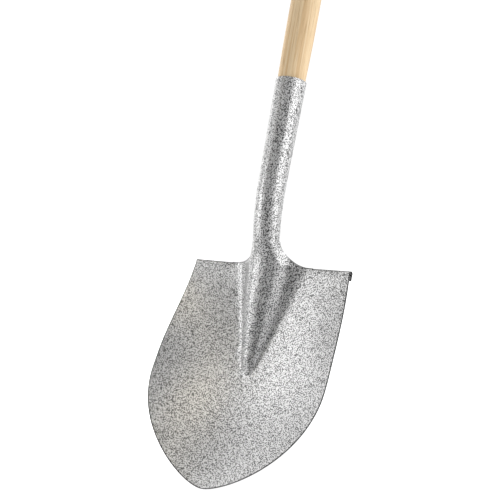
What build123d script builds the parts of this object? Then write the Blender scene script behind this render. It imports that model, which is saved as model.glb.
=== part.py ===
"""Round pointed spade: pressed blade with rolled socket, ash handle and two rivets.

Built in the tool's own frame first: X to the right, Y up the handle, Z out of the
front face, with the centre of the socket's mouth at the origin. Distances "down"
are measured from the mouth towards the point. The last step lays the tool on its back.
"""
import os
from math import atan, atan2, cos, degrees, hypot, pi, sin, sqrt, tan

from build123d import *
from numpy import interp
from OCP.BRepBuilderAPI import BRepBuilderAPI_MakeFace
from OCP.Geom import Geom_BSplineSurface
from OCP.TColgp import TColgp_Array2OfPnt
from OCP.TColStd import TColStd_Array1OfInteger, TColStd_Array1OfReal

# Steel sheet
SHEET = 1.5                    # thickness of the pressed sheet
LAP = 0.15                     # rolled areas stand proud of the pan's sheet by this much, on both faces

# Socket: a rolled tube that tapers, and bends backwards at the neck
SOCKET_MOUTH_RADIUS = 20.6     # outside, at the mouth
SOCKET_NECK_RADIUS = 17.7      # outside, where the tube opens into the rib
SOCKET_STRAIGHT = 140.0        # straight run below the mouth
NECK_RUN = 77.0                # bent run below that, to the neck's end
NECK_BEND_RADIUS = 288.0
SEAM_GAP = 1.2                 # open seam along the back
FROG_RISE = 22.0               # the open back climbs this far from the tube's sides to the seam

# Pan
SHOULDER_DROP = 26.1           # from the neck's end down to the tread line
SHOULDER_HEIGHT = 36.0         # the curve from tube to tread, up the tool
SHOULDER_WIDTH = 40.0          # the same curve, sideways
PAN_SET_BACK = 28.6            # front face behind the handle's axis, at the treads' outer ends
PAN_TOP_SLOPE = 2.24           # degrees that the pan leans forward at the tread line, down the tool
PAN_LENGTH_RADIUS = 927.0      # lengthwise curve of the pan
WING_LEAN = 4.2                # degrees that the wings lean forward at the tread line, outwards
WING_ROUND = 30.0              # half width of the round that joins the two wings
DISH_DEPTH = 21.9              # how far the widest edges stand in front of the centre line
DISH_SINK = 8.5                # the part of that depth by which the centre line sinks
DISH_RUN = 130.0               # the dish grows over this length below the tread line
SINK_FADE = 1.5                # power by which the sink fades towards the point
BLADE_LENGTH = 298.9           # tread line to point
BLADE_WIDTH = 270.0            # widest
TREAD_WIDTH = 244.0            # across both treads
WIDEST_DROP = 156.9            # tread line to the widest place
SIDE_FLARE = 5.9               # degrees between a side and the centre line, at the tread
SIDE_EASE = 53.0               # how long the side holds its direction at either end
SHOULDER_EASE = 86.0           # the same for the round, below the widest place
POINT_EASE = 32.0              # the same for the round, beside the point

# Rib
RIB_LENGTH = 153.1             # tread line to the rib's end
RIB_NECK_HALF_WIDTH = 43.0     # with its root curves, at the neck
RIB_ROOT_HALF_WIDTH = 58.9     # the same at the tread line
RIB_END_HALF_WIDTH = 7.2       # the same at the rib's end
RIB_FLANK = 64.0               # degrees between a flank and the pan
RIB_END_CREST = 0.75           # share of the half width under the crest arc, at the rib's end
RIB_BLEND = 90.0               # the tube's crest eases into the rib's straight crest over this length
RIB_TIP = 24.0                 # length of the rounded tip

# Treads, folded back along the top edges
TREAD_FOLD_RADIUS = 3.5        # outside of the fold
TREAD_HEIGHT = 12.0            # top of the fold to its free edge
TREAD_INNER_GAP = 6.0          # between the shoulder curve's end and the tread

# Handle
HANDLE_LENGTH = 1100.0         # whole stick, with its tenon
HANDLE_RADIUS = 20.0
SWELL_LENGTH = 100.0           # the stick thickens over this length above the mouth
TENON_LENGTH = 136.0
TENON_CLEARANCE = 0.15
BUTT_ROUND = 13.0              # radius of the rounded edge at the butt

# Rivets
RIVET_DROPS = (40.8, 100.3)    # below the mouth
RIVET_SHANK_RADIUS = 3.0
RIVET_HEAD_RADIUS = 5.3
RIVET_HEAD_HEIGHT = 2.6
RIVET_CLEARANCE = 0.1

# Fineness of the curved sheet
NECK_STEP = 3.0                # between cross sections of the sheet, down to the tread line
FLANK_STEP = 6.0               # the same along the rib's flanks
TIP_STEP = 4.0                 # the same along the rib's tip
PAN_STEP = 12.0                # the same below the rib
RIB_SHARE = 0.5                # share of half a cross section that gets closely spaced points
RIB_STEPS = 30                 # points along that share
WING_STEPS = 12                # points along the rest
TRACE_STEPS = 300              # points for measuring a cross section's length
BEND_STEPS = 5                 # rings along the bend of the neck
FINE = 0.001                   # step for measuring directions

# Places down the tool, from the sizes above
NECK = SOCKET_STRAIGHT + NECK_RUN
TREAD_LINE = NECK + SHOULDER_DROP
WIDEST = TREAD_LINE + WIDEST_DROP
POINT = TREAD_LINE + BLADE_LENGTH
RIB_END = TREAD_LINE + RIB_LENGTH
HALF_WIDTH = BLADE_WIDTH / 2
LAPPED_WALL = SHEET + 2 * LAP  # of the tube and the treads, which lap the sheet
TRIM = 6 * SHEET               # spare sheet outside the outline
LAP_RUN = 2 * SHEET            # how far the lapping areas reach over each other
TREAD_INNER = SOCKET_NECK_RADIUS + SHOULDER_WIDTH + TREAD_INNER_GAP - LAP_RUN
TREAD_FOLD = TREAD_LINE + TREAD_FOLD_RADIUS
DEEP = 4 * SOCKET_MOUTH_RADIUS  # reaches past everything, front and back


def tube_radius(down):
    """Outside radius of the socket."""
    return SOCKET_MOUTH_RADIUS + (SOCKET_NECK_RADIUS - SOCKET_MOUTH_RADIUS) * down / NECK


def tube_axis(down):
    """Height of the socket's axis, which falls behind the handle's axis in the neck."""
    bent = max(down - SOCKET_STRAIGHT, 0)
    return sqrt(NECK_BEND_RADIUS**2 - bent**2) - NECK_BEND_RADIUS


def ease(share):
    """0 below 0, 1 above 1, and a smooth step between them."""
    share = min(max(share, 0), 1)
    return share**2 * (3 - 2 * share)


def pan_height(x, down):
    """Height of the pan, without its rib: leaning wings at the top that turn into a round dish."""
    fall = down - TREAD_LINE
    roundness = ease(fall / DISH_RUN)
    narrowing = min(max((down - WIDEST) / (POINT - WIDEST), 0), 1)
    sink = DISH_SINK * (1 - narrowing**2) ** SINK_FADE
    dish = roundness * (DISH_DEPTH * (x / HALF_WIDTH) ** 2 - sink)
    lean = tan(WING_LEAN * pi / 180) * (1 - roundness) * (1 - ease(-fall / SHOULDER_DROP))
    wings = lean * (hypot(x, WING_ROUND) - hypot(TREAD_WIDTH / 2, WING_ROUND))
    slope = PAN_TOP_SLOPE * pi / 180
    return -PAN_SET_BACK + fall * slope + fall**2 / (2 * PAN_LENGTH_RADIUS) + dish + wings


def slope_of(height, down):
    """Rise of a height for each millimetre down."""
    return (height(down + FINE) - height(down - FINE)) / (2 * FINE)


def rib_line(down):
    """Half width of the rib with its root curves, as a straight taper."""
    share = min((down - TREAD_LINE) / RIB_LENGTH, 1)
    return RIB_ROOT_HALF_WIDTH + (RIB_END_HALF_WIDTH - RIB_ROOT_HALF_WIDTH) * share


def rib_half_width(down):
    """The same, drawn in towards the tube above the tread line."""
    above = max((TREAD_LINE - down) / SHOULDER_DROP, 0)
    return rib_line(down) - (rib_line(NECK) - RIB_NECK_HALF_WIDTH) * above


def rib_height(down):
    """Crest of the rib above the pan: on the tube above the neck, then straight with a rounded tip."""
    def tube_crest(place):
        return tube_axis(place) + tube_radius(place) - LAP - pan_height(0, place)

    def own_crest(place):
        root = pan_height(rib_half_width(place), place) - pan_height(0, place)
        full = root + rib_line(place) * tan(RIB_FLANK * pi / 360)
        return full * ease((RIB_END - place) / RIB_TIP)

    def step_between(place):
        return tube_crest(place) - own_crest(place)

    if down <= NECK:
        return tube_crest(down)
    share = min((down - NECK) / RIB_BLEND, 1)
    start_slope = slope_of(step_between, NECK - FINE) * RIB_BLEND
    step_left = step_between(NECK) * (1 + 2 * share) + start_slope * share
    return own_crest(down) + step_left * (1 - share) ** 2


def rib_arcs(down):
    """Angle that the rib's flank turns through, its crest radius and its root radius."""
    width = rib_half_width(down)
    turn = 2 * atan(max(rib_height(down), FINE) / width)
    if down <= NECK:
        crest = tube_radius(down) - LAP
    else:
        neck_turn, neck_crest, _ = rib_arcs(NECK)
        neck_part = neck_crest * sin(neck_turn) / rib_half_width(NECK)
        share = min((down - NECK) / (RIB_END - NECK), 1)
        crest = (neck_part + (RIB_END_CREST - neck_part) * share) * width / sin(turn)
    return turn, crest, width / sin(turn) - crest


def sheet_point(across, down):
    """Point of the sheet's front face.

    across runs from 0 at the crest to 1 at the end of the crest arc, 2 at the end of
    the root arc and 3 outside the pan's edge, and the same to the left below 0.
    """
    side = 1 if across > 0 else -1
    step = abs(across)
    width = rib_half_width(down)
    turn, crest, root = rib_arcs(down)
    if step <= 1:
        x = crest * sin(step * turn)
        rise = rib_height(down) - crest * (1 - cos(step * turn))
    elif step <= 2:
        x = width - root * sin((2 - step) * turn)
        rise = root * (1 - cos((2 - step) * turn))
    else:
        x = width + (step - 2) * (HALF_WIDTH + TRIM - width)
        rise = 0
    return Vector(side * x, -down, pan_height(x, down) + rise)


def steps(first, last, count):
    """Evenly spaced values with both ends."""
    return [first + (last - first) * number / count for number in range(count + 1)]


def across_at(shares, down):
    """Places across the sheet at these shares of half a cross section's length."""
    trace = steps(0, 3, TRACE_STEPS)
    points = [sheet_point(across, down) for across in trace]
    lengths = [0]
    for first, second in zip(points, points[1:]):
        lengths.append(lengths[-1] + (second - first).length)
    return [float(interp(share * lengths[-1], lengths, trace)) for share in shares]


def both_sides(half):
    """Values of the right half and their opposites, from left to right."""
    return [-value for value in half[:0:-1]] + half


def sheet_rows(down, shares):
    """Points across the sheet: along its front face, and along its back face one thickness behind."""
    lines = both_sides(across_at(shares, down))
    front = [sheet_point(across, down) for across in lines]
    back = []
    for across, point in zip(lines, front):
        along = sheet_point(across + FINE, down) - sheet_point(across - FINE, down)
        back.append(point + Vector(along.Z, 0, -along.X).normalized() * SHEET)
    return front, back


def spline_poles(points, pace):
    """The curve through these points at this pace, and its poles."""
    curve = Edge.make_spline(points, parameters=pace).geom_adaptor().BSpline()
    return curve, [Vector(curve.Pole(number + 1)) for number in range(curve.NbPoles())]


def smooth_face(rows, pace_across, pace_down):
    """The face through rows of points: a curve along each row, and curves through those curves' poles."""
    row_curves = [spline_poles(row, pace_across) for row in rows]
    columns = zip(*[poles for _, poles in row_curves])
    column_curves = [spline_poles(list(column), pace_down) for column in columns]
    across, down = row_curves[0][0], column_curves[0][0]
    poles = TColgp_Array2OfPnt(1, across.NbPoles(), 1, down.NbPoles())
    for row, (_, column) in enumerate(column_curves):
        for number, pole in enumerate(column):
            poles.SetValue(row + 1, number + 1, pole.to_pnt())
    places = []
    counts = []
    for curve in (across, down):
        places.append(TColStd_Array1OfReal(1, curve.NbKnots()))
        counts.append(TColStd_Array1OfInteger(1, curve.NbKnots()))
        for number in range(1, curve.NbKnots() + 1):
            places[-1].SetValue(number, curve.Knot(number))
            counts[-1].SetValue(number, curve.Multiplicity(number))
    surface = Geom_BSplineSurface(poles, *places, *counts, across.Degree(), down.Degree())
    return Face(BRepBuilderAPI_MakeFace(surface, FINE).Face())


def sheet_solid():
    """The pressed sheet with its rib, before its outline is cut."""
    bottom = POINT + TRIM
    runs = [(TREAD_LINE, NECK_STEP), (RIB_END - RIB_TIP, FLANK_STEP), (RIB_END, TIP_STEP), (bottom, PAN_STEP)]
    stations = [NECK - LAP_RUN]
    for end, step in runs:
        start = stations[-1]
        stations += steps(start, end, round((end - start) / step))[1:]
    shares = steps(0, RIB_SHARE, RIB_STEPS) + steps(RIB_SHARE, 1, WING_STEPS)[1:]
    rows = [sheet_rows(down, shares) for down in stations]
    front = smooth_face([row for row, _ in rows], both_sides(shares), stations)
    back = smooth_face([row for _, row in rows], both_sides(shares), stations)
    walls = []
    for axis in (Axis.X, Axis.Y):
        for place in (0, -1):
            walls.append(Face.make_surface_from_curves(front.edges().sort_by(axis)[place],
                                                       back.edges().sort_by(axis)[place]))
    return Solid(Shell([front, back] + walls))


def outline_face():
    """The flat outline of the sheet, seen from the front."""
    corner = TREAD_WIDTH / 2 - 2 * LAP
    turn, crest, _ = rib_arcs(NECK)
    flank = crest * sin(turn)
    shoulder = flank + SHOULDER_WIDTH
    shoulder_top = SHOULDER_HEIGHT - TREAD_LINE
    flare = SIDE_FLARE * pi / 180
    turn_in = shoulder + TREAD_INNER_GAP
    step_in = [(shoulder, -TREAD_LINE), (turn_in, -TREAD_LINE), (turn_in, -TREAD_FOLD), (corner, -TREAD_FOLD)]
    side_aim = (corner + SIDE_EASE * sin(flare), -TREAD_FOLD - SIDE_EASE * cos(flare))
    round_aim = (HALF_WIDTH, -WIDEST - SHOULDER_EASE)
    half = Curve() + [
        Polyline((0, shoulder_top + TRIM), (flank, shoulder_top + TRIM), (flank, shoulder_top)),
        EllipticalCenterArc((shoulder, shoulder_top), SHOULDER_WIDTH, SHOULDER_HEIGHT, start_angle=180),
        Polyline(*step_in),
        Bezier((corner, -TREAD_FOLD), side_aim, (HALF_WIDTH, -WIDEST + SIDE_EASE), (HALF_WIDTH, -WIDEST)),
        Bezier((HALF_WIDTH, -WIDEST), round_aim, (POINT_EASE, -POINT), (0, -POINT)),
    ]
    return make_face(half.edges() + mirror(half, Plane.YZ).edges())


def tube_solid(growth, top):
    """The inside of the socket's outer skin, grown by growth, from top down to the neck."""
    def ring(down):
        plane = Plane((0, -down, tube_axis(down)), x_dir=(0, 0, -1), z_dir=(0, 1, 0))
        return plane * Circle(tube_radius(down) + growth)

    straight = loft([ring(top), ring(SOCKET_STRAIGHT)])
    bent_stations = steps(SOCKET_STRAIGHT, NECK, BEND_STEPS)
    return straight + loft([ring(down) for down in bent_stations])


def socket_tube():
    """The rolled tube with its seam and the open back at its lower end."""
    tube = tube_solid(0, 0) - tube_solid(-LAPPED_WALL, 0)
    seam = Pos(0, -NECK / 2, -DEEP / 2) * Box(SEAM_GAP, NECK + DEEP, DEEP)
    side = tube_axis(NECK) - SHEET
    back = side - DEEP
    climb = FROG_RISE * DEEP / SOCKET_NECK_RADIUS
    slant = Polyline((-NECK, side), (-NECK + climb, back), (-NECK - DEEP, back), close=True)
    frog = Plane.YZ * make_face(slant)
    return tube - seam - extrude(frog, DEEP, both=True)


def tread():
    """The right tread: the sheet's top edge folded over backwards, with its leg lapping the pan."""
    wall = LAPPED_WALL
    inside = TREAD_FOLD_RADIUS - wall
    fold = Circle(TREAD_FOLD_RADIUS) - Circle(inside)
    fold -= Pos(-TREAD_FOLD_RADIUS, 0) * Rectangle(2 * TREAD_FOLD_RADIUS, 4 * TREAD_FOLD_RADIUS)
    tail_length = TREAD_HEIGHT - TREAD_FOLD_RADIUS
    middle = TREAD_FOLD_RADIUS - wall / 2
    tail = Pos(-tail_length / 2, -middle) * Rectangle(tail_length, wall)
    leg = Pos(-wall / 2, middle) * Rectangle(wall, wall)
    profile = fold + tail + leg

    inner_end = Vector(TREAD_INNER, -TREAD_FOLD, pan_height(TREAD_INNER, TREAD_FOLD))
    outer_end = Vector(TREAD_WIDTH / 2, -TREAD_FOLD, pan_height(TREAD_WIDTH / 2, TREAD_FOLD))
    along = outer_end - inner_end
    plane = Plane(inner_end, x_dir=(0, 1, 0), z_dir=along)
    slope = degrees(slope_of(lambda down: pan_height(TREAD_INNER, down), TREAD_FOLD))
    return extrude(plane * Pos(0, LAP - TREAD_FOLD_RADIUS) * Rot(0, 0, -slope) * profile, along.length)


def rivet_hole(down):
    """Cylinder across the socket that a rivet's shank passes through."""
    radius = RIVET_SHANK_RADIUS + RIVET_CLEARANCE
    return Pos(0, -down, 0) * Rot(0, 90, 0) * Cylinder(radius, DEEP)


def blade():
    """Pan, rib, socket and treads: one sheet."""
    pan = sheet_solid() & extrude(outline_face(), DEEP, both=True)
    body = pan + socket_tube() + tread() + mirror(tread(), Plane.YZ)
    for down in RIVET_DROPS:
        body -= rivet_hole(down)
    return body


def bore_radius(down):
    """Inside radius of the socket."""
    return tube_radius(down) - LAPPED_WALL


def handle():
    """The ash stick: tapered tenon, swelling grip and rounded butt."""
    mouth = bore_radius(0) - TENON_CLEARANCE
    tenon_end = bore_radius(TENON_LENGTH) - TENON_CLEARANCE
    butt = HANDLE_LENGTH - TENON_LENGTH
    flat = HANDLE_RADIUS - BUTT_ROUND
    outline = Curve() + [
        Polyline((flat, butt), (0, butt), (0, -TENON_LENGTH), (tenon_end, -TENON_LENGTH), (mouth, 0)),
        TangentArc((HANDLE_RADIUS, SWELL_LENGTH), (mouth, 0), tangent=(0, -1)),
        Line((HANDLE_RADIUS, SWELL_LENGTH), (HANDLE_RADIUS, butt - BUTT_ROUND)),
        CenterArc((flat, butt - BUTT_ROUND), BUTT_ROUND, 0, 90),
    ]
    stick = Rot(0, 90, 0) * revolve(make_face(outline.edges()), Axis.Y)
    for down in RIVET_DROPS:
        stick -= rivet_hole(down)
    return stick


def rivet(down):
    """One rivet: a shank with a domed head seated on the socket at each end."""
    seat = tube_radius(down)
    top = seat + RIVET_HEAD_HEIGHT
    base = seat - RIVET_HEAD_HEIGHT
    dome = (RIVET_HEAD_RADIUS**2 + RIVET_HEAD_HEIGHT**2) / (2 * RIVET_HEAD_HEIGHT)
    edge_angle = degrees(atan2(seat - top + dome, RIVET_HEAD_RADIUS))
    profile = Curve() + [
        Polyline((0, top), (0, base), (RIVET_HEAD_RADIUS, base), (RIVET_HEAD_RADIUS, seat)),
        CenterArc((0, top - dome), dome, edge_angle, 90 - edge_angle),
    ]
    head = Pos(0, -down, 0) * Rot(0, 0, -90) * revolve(make_face(profile.edges()), Axis.Y)
    heads = head + mirror(head, Plane.YZ) - tube_solid(0, -DEEP)
    shank = Pos(0, -down, 0) * Rot(0, 90, 0) * Cylinder(RIVET_SHANK_RADIUS, seat + top)
    return heads + shank


def lay_on_back(pieces):
    """Place that rests the treads and the butt on the floor, centred on the floor's origin."""
    tread_back = pan_height(TREAD_INNER, TREAD_FOLD) + LAP - 2 * TREAD_FOLD_RADIUS
    butt = HANDLE_LENGTH - TENON_LENGTH - BUTT_ROUND
    pitch = atan2(-HANDLE_RADIUS - tread_back, butt + TREAD_FOLD)
    turned = Rot(-degrees(pitch), 0, 0)
    box = (turned * Compound(pieces)).bounding_box()
    return Pos(0, -box.center().Y, -box.min.Z) * turned


rivets = [rivet(down) for down in RIVET_DROPS]
nodes = {"blade": blade(), "handle": handle(), "socket_rivets": Compound(rivets)}
place = lay_on_back(list(nodes.values()))
os.makedirs("parts", exist_ok=True)
for name, node in nodes.items():
    export_step(place * node, f"parts/{name}.step")
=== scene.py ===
import bpy
import math
from mathutils import Matrix, Vector

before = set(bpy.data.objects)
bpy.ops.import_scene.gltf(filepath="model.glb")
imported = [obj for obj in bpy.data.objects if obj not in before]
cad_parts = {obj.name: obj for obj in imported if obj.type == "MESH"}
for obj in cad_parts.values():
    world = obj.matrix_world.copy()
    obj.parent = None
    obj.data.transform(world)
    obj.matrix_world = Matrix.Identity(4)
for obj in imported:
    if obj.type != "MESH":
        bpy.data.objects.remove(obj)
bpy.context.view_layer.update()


# The blade is one pressed steel sheet: dished pan, tapering rib, rolled socket and two folded treads.
# It is dipped in silver hammertone enamel, which dries into small pale islands of aluminium flake with
# dark flecks between them under one glossy film. Along the rim, the cut edges and the folds the colour is
# painted near black: painted shade for the dark surroundings that these edges mirror.
class Signal:
    """One socket of a finish. Arithmetic on it adds Math nodes, and make() adds any other node."""

    def __init__(self, tree, socket=None):
        self.tree = tree
        self.socket = socket

    def make(self, kind, settings, sockets, output=0):
        node = self.tree.nodes.new("ShaderNode" + kind)
        for name, value in settings.items():
            setattr(node, name, value)
        for name, value in sockets.items():
            if isinstance(value, Signal):
                self.tree.links.new(value.socket, node.inputs[name])
            else:
                node.inputs[name].default_value = value
        return Signal(self.tree, node.outputs[output])

    def maths(self, operation, *values):
        return self.make("Math", {"operation": operation}, dict(enumerate(values)))

    def axis(self, name):
        """One axis of this vector."""
        return self.make("SeparateXYZ", {}, {"Vector": self}, output=name)

    def dot(self, other):
        """The dot product of this vector and another one."""
        return self.make("VectorMath", {"operation": "DOT_PRODUCT"}, {0: self, 1: other}, output="Value")

    def between(self, low, high):
        """0 below low, 1 above high, easing from one to the other."""
        sockets = {"Value": self, "From Min": low, "From Max": high}
        return self.make("MapRange", {"interpolation_type": "SMOOTHSTEP"}, sockets)

    def blend(self, first, second):
        """The first colour where this is 0 and the second where it is 1."""
        first_colour, second_colour, mixed_colour = 6, 7, 2
        sockets = {0: self, first_colour: first, second_colour: second}
        return self.make("Mix", {"data_type": "RGBA"}, sockets, output=mixed_colour)

    def __add__(self, other):
        return self.maths("ADD", self, other)

    def __sub__(self, other):
        return self.maths("SUBTRACT", self, other)

    def __rsub__(self, other):
        return self.maths("SUBTRACT", other, self)

    def __mul__(self, other):
        return self.maths("MULTIPLY", self, other)

    def __or__(self, other):
        return self.maths("MAXIMUM", self, other)

    def __abs__(self):
        return self.maths("ABSOLUTE", self)

    __radd__ = __add__
    __rmul__ = __mul__
    __ror__ = __or__


def new_finish(name):
    """An empty material: its first signal, which gives places in metres, and its shader."""
    material = bpy.data.materials.new(name)
    material.use_nodes = True
    shader = material.node_tree.nodes["Principled BSDF"]
    places = Signal(material.node_tree).make("TexCoord", {}, {}, output="Object")
    return material, places, shader


def feed(shader, **signals):
    """Link signals to the shader's sockets."""
    for name, signal in signals.items():
        socket = shader.inputs[name.replace("_", " ").title()]
        signal.tree.links.new(signal.socket, socket)


flake_silver = (0.70, 0.70, 0.70, 1.0)
fleck_black = (0.0, 0.0, 0.0, 1.0)
# Painted shade: the near-black colour given to the blade's rim, cut edges and folds.
edge_shade_grey = (0.03, 0.03, 0.03, 1.0)
speckle_size = 0.0014
fleck_to_island = (0.465, 0.495)
fleck_metal = 0.55
fleck_roughness = 0.30
island_roughness = 0.24
island_height = 0.0003
rim_width = 0.003
rim_to_face = (0.94, 0.99)
cut_to_face = (0.28, 0.36)
face_to_fold = (0.45, 0.75)
pan_to_socket = (-0.45, -0.44)

paint, places, shader = new_finish("hammertone_paint")
speckle = places.make("TexNoise", {}, {"Vector": places, "Scale": 1 / speckle_size, "Detail": 0.0})
island = speckle.between(*fleck_to_island)
film = island.blend(fleck_black, flake_silver)
normal = places.make("NewGeometry", {}, {}, output="Normal")
rounded = places.make("Bevel", {"samples": 8}, {"Radius": rim_width})
cut = 1 - abs(normal.axis("Z")).between(*cut_to_face)
rim = 1 - rounded.dot(normal).between(*rim_to_face)
fold = normal.axis("Y").between(*face_to_fold)
pan = 1 - places.axis("Y").between(*pan_to_socket)
# The rim, the cut edges and the folds of the pan get a near-black colour and full metal: painted shade for
# the dark surroundings these edges mirror.
painted_edge_shade = (cut | fold | rim) * pan
relief = places.make("Bump", {}, {"Height": island, "Strength": 0.1, "Distance": island_height})
feed(shader, base_color=painted_edge_shade.blend(film, edge_shade_grey), metallic=painted_edge_shade | (1 - island) * fleck_metal,
     roughness=fleck_roughness - island * (fleck_roughness - island_roughness), normal=relief)
shader.inputs["IOR"].default_value = 3.2

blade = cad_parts["blade"]
blade.material_slots[0].material = paint


# The handle is a straight stick of ash, turned and sanded, with a thin clear coat. Its lower end sits in
# the socket. The grain runs along it: bands of early and late wood, brown flames and fine open pores.
ash_cream = (0.83, 0.65, 0.42, 1.0)
ash_tan = (0.72, 0.51, 0.29, 1.0)
ash_brown = (0.50, 0.33, 0.17, 1.0)
band_stretch = (210.0, 4.0, 210.0)
flame_stretch = (110.0, 9.0, 110.0)
pore_stretch = (1400.0, 26.0, 1400.0)
cream_to_tan = (0.40, 0.62)
wood_to_flame = (0.56, 0.72)
wood_to_pore = (0.52, 0.72)
flame_share = 0.7
pore_share = 0.6
pore_depth = 0.0002
sanded_roughness = 0.42
pore_roughness = 0.2


def grain_noise(places, stretch, detail, distortion=0.0):
    """Noise that is drawn out along the stick."""
    stretched = places.make("Mapping", {}, {"Vector": places, "Scale": stretch})
    sockets = {"Vector": stretched, "Scale": 1.0, "Detail": detail, "Distortion": distortion}
    return places.make("TexNoise", {}, sockets)


wood, places, shader = new_finish("ash_wood")
bands = grain_noise(places, band_stretch, detail=4.0, distortion=1.2).between(*cream_to_tan)
flames = grain_noise(places, flame_stretch, detail=2.0, distortion=0.8).between(*wood_to_flame) * flame_share
pores = grain_noise(places, pore_stretch, detail=2.0).between(*wood_to_pore) * pore_share
grain = flames.blend(bands.blend(ash_cream, ash_tan), ash_brown)
open_grain = places.make("Bump", {}, {"Height": 1 - pores, "Strength": 0.3, "Distance": pore_depth})
feed(shader, base_color=pores.blend(grain, ash_brown), roughness=sanded_roughness + pores * pore_roughness,
     normal=open_grain)
shader.inputs["Specular IOR Level"].default_value = 0.15
shader.inputs["Coat Weight"].default_value = 0.02
shader.inputs["Coat Roughness"].default_value = 0.25

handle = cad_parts["handle"]
handle.material_slots[0].material = wood


# Two plain steel rivets hold the socket to the stick. Their domed heads were hammered over
# and show bright metal with fine scratches.
steel_grey = (0.40, 0.40, 0.40, 1.0)
scratches_per_metre = 900.0
scratch_depth = 0.0002
polished_roughness = 0.22
scratch_roughness = 0.2

steel, places, shader = new_finish("bright_steel")
scratch = places.make("TexNoise", {}, {"Vector": places, "Scale": scratches_per_metre, "Detail": 3.0})
hammered = places.make("Bump", {}, {"Height": scratch, "Strength": 0.2, "Distance": scratch_depth})
feed(shader, roughness=polished_roughness + scratch * scratch_roughness, normal=hammered)
shader.inputs["Base Color"].default_value = steel_grey
shader.inputs["Metallic"].default_value = 1.0

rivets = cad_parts["socket_rivets"]
rivets.material_slots[0].material = steel


# The floor is a white table that glows, so nothing on it throws a shadow. Its glow is painted dimmer close
# to the tool, as painted shade, and the tool then mirrors a greyer edge along its outline than further in.
floor_half = 40.0
floor_black = (0.0, 0.0, 0.0, 1.0)
# The dimmer grey glow close to the tool is painted shade.
shaded_floor_grey = (0.45, 0.45, 0.45, 1.0)
plain_white = (1.0, 1.0, 1.0, 1.0)
near_to_far = (0.05, 0.20)
floor_light = 2.3

floor_corners = [(-floor_half, -floor_half, 0), (floor_half, -floor_half, 0),
                 (floor_half, floor_half, 0), (-floor_half, floor_half, 0)]
floor_mesh = bpy.data.meshes.new("studio_floor")
floor_mesh.from_pydata(floor_corners, [], [(0, 1, 2, 3)])
floor = bpy.data.objects.new("studio_floor", floor_mesh)
bpy.context.scene.collection.objects.link(floor)

white, places, shader = new_finish("studio_white")
# Painted shade: the glow fades to grey within a few centimetres of the tool's long axis.
far = abs(places.axis("X")).between(*near_to_far)
feed(shader, emission_color=far.blend(shaded_floor_grey, plain_white))
shader.inputs["Base Color"].default_value = floor_black
shader.inputs["Specular IOR Level"].default_value = 0.0
shader.inputs["Emission Strength"].default_value = floor_light
floor_mesh.materials.append(white)


# The studio has white walls all round, with a bright window at the right, a dark ceiling above the handle,
# a dark opening where the camera stands, and a weak fill and a small warm lamp in the ceiling.
wall_light = 1.05
warm_light = 2.1
warm_white = (1.0, 0.91, 0.72, 1.0)

world = bpy.data.worlds.new("studio_light")
bpy.context.scene.world = world
world.use_nodes = True
direction = Signal(world.node_tree).make("TexCoord", {}, {}, output="Generated")


def towards(middle, edge, full):
    """0 for directions further than edge degrees from the middle, 1 for those nearer than full."""
    return direction.dot(middle).between(math.cos(math.radians(edge)), math.cos(math.radians(full)))


window = towards((0.885, 0.438, 0.156), edge=28, full=14)
ceiling = towards((-0.196, 0.588, 0.785), edge=33, full=22)
opening = towards((0.452, -0.087, 0.888), edge=54, full=0)
fill = towards((-0.124, 0.454, 0.882), edge=15, full=4)
warm = towards((-0.368, 0.492, 0.789), edge=11, full=3)
patch_lights = ((window, 2.8), (ceiling, 0.06), (opening, 0.0), (fill, 0.5))
strength = wall_light
for patch, light in patch_lights:
    strength = strength + patch * (light - strength)
strength = strength + warm * warm_light
background = world.node_tree.nodes["Background"]
feed(background, strength=strength, color=warm.blend(plain_white, warm_white))
bpy.context.scene.view_settings.view_transform = "Standard"


# The softbox is a white lamp above the blade at its left. It lights the right wing and the neck,
# and it is close enough to pass by the socket.
softbox_light = 2.0
softbox_width = 0.47
softbox_length = 0.50
softbox_place = Vector((-0.735, -0.395, 0.720))
softbox_target = Vector((0.02, -0.52, 0.04))
softbox_roll = math.radians(22)


def standing(place, right, up, back):
    """The matrix of a lamp or camera that stands at a place and looks away from its back."""
    return Matrix.Translation(place) @ Matrix((right, up, back)).transposed().to_4x4()


softbox_data = bpy.data.lights.new("softbox", "AREA")
softbox_data.shape = "RECTANGLE"
softbox_data.size = softbox_width
softbox_data.size_y = softbox_length
softbox_data.energy = softbox_light * math.pi * softbox_width * softbox_length
softbox = bpy.data.objects.new("softbox", softbox_data)
softbox_back = (softbox_place - softbox_target).normalized()
softbox_right = Vector((0.0, 1.0, 0.0)).cross(softbox_back).normalized()
softbox_up = softbox_back.cross(softbox_right)
softbox_stand = standing(softbox_place, softbox_right, softbox_up, softbox_back)
softbox.matrix_world = softbox_stand @ Matrix.Rotation(softbox_roll, 4, "Z")
bpy.context.scene.collection.objects.link(softbox)


# The camera stands in front of the blade, to its right, and sees the handle leave the top of the picture.
camera_place = Vector((0.9076, -0.6703, 1.3298))
camera_right = (0.81526, 0.17214, -0.55292)
camera_up = (-0.06006, 0.97478, 0.21492)
camera_back = (0.57597, -0.14202, 0.80504)

camera_data = bpy.data.cameras.new("camera")
camera_data.sensor_width = 36.0
camera_data.lens = 88.5
camera_data.clip_end = 200.0
camera = bpy.data.objects.new("camera", camera_data)
camera.matrix_world = standing(camera_place, camera_right, camera_up, camera_back)
bpy.context.scene.collection.objects.link(camera)
bpy.context.scene.camera = camera
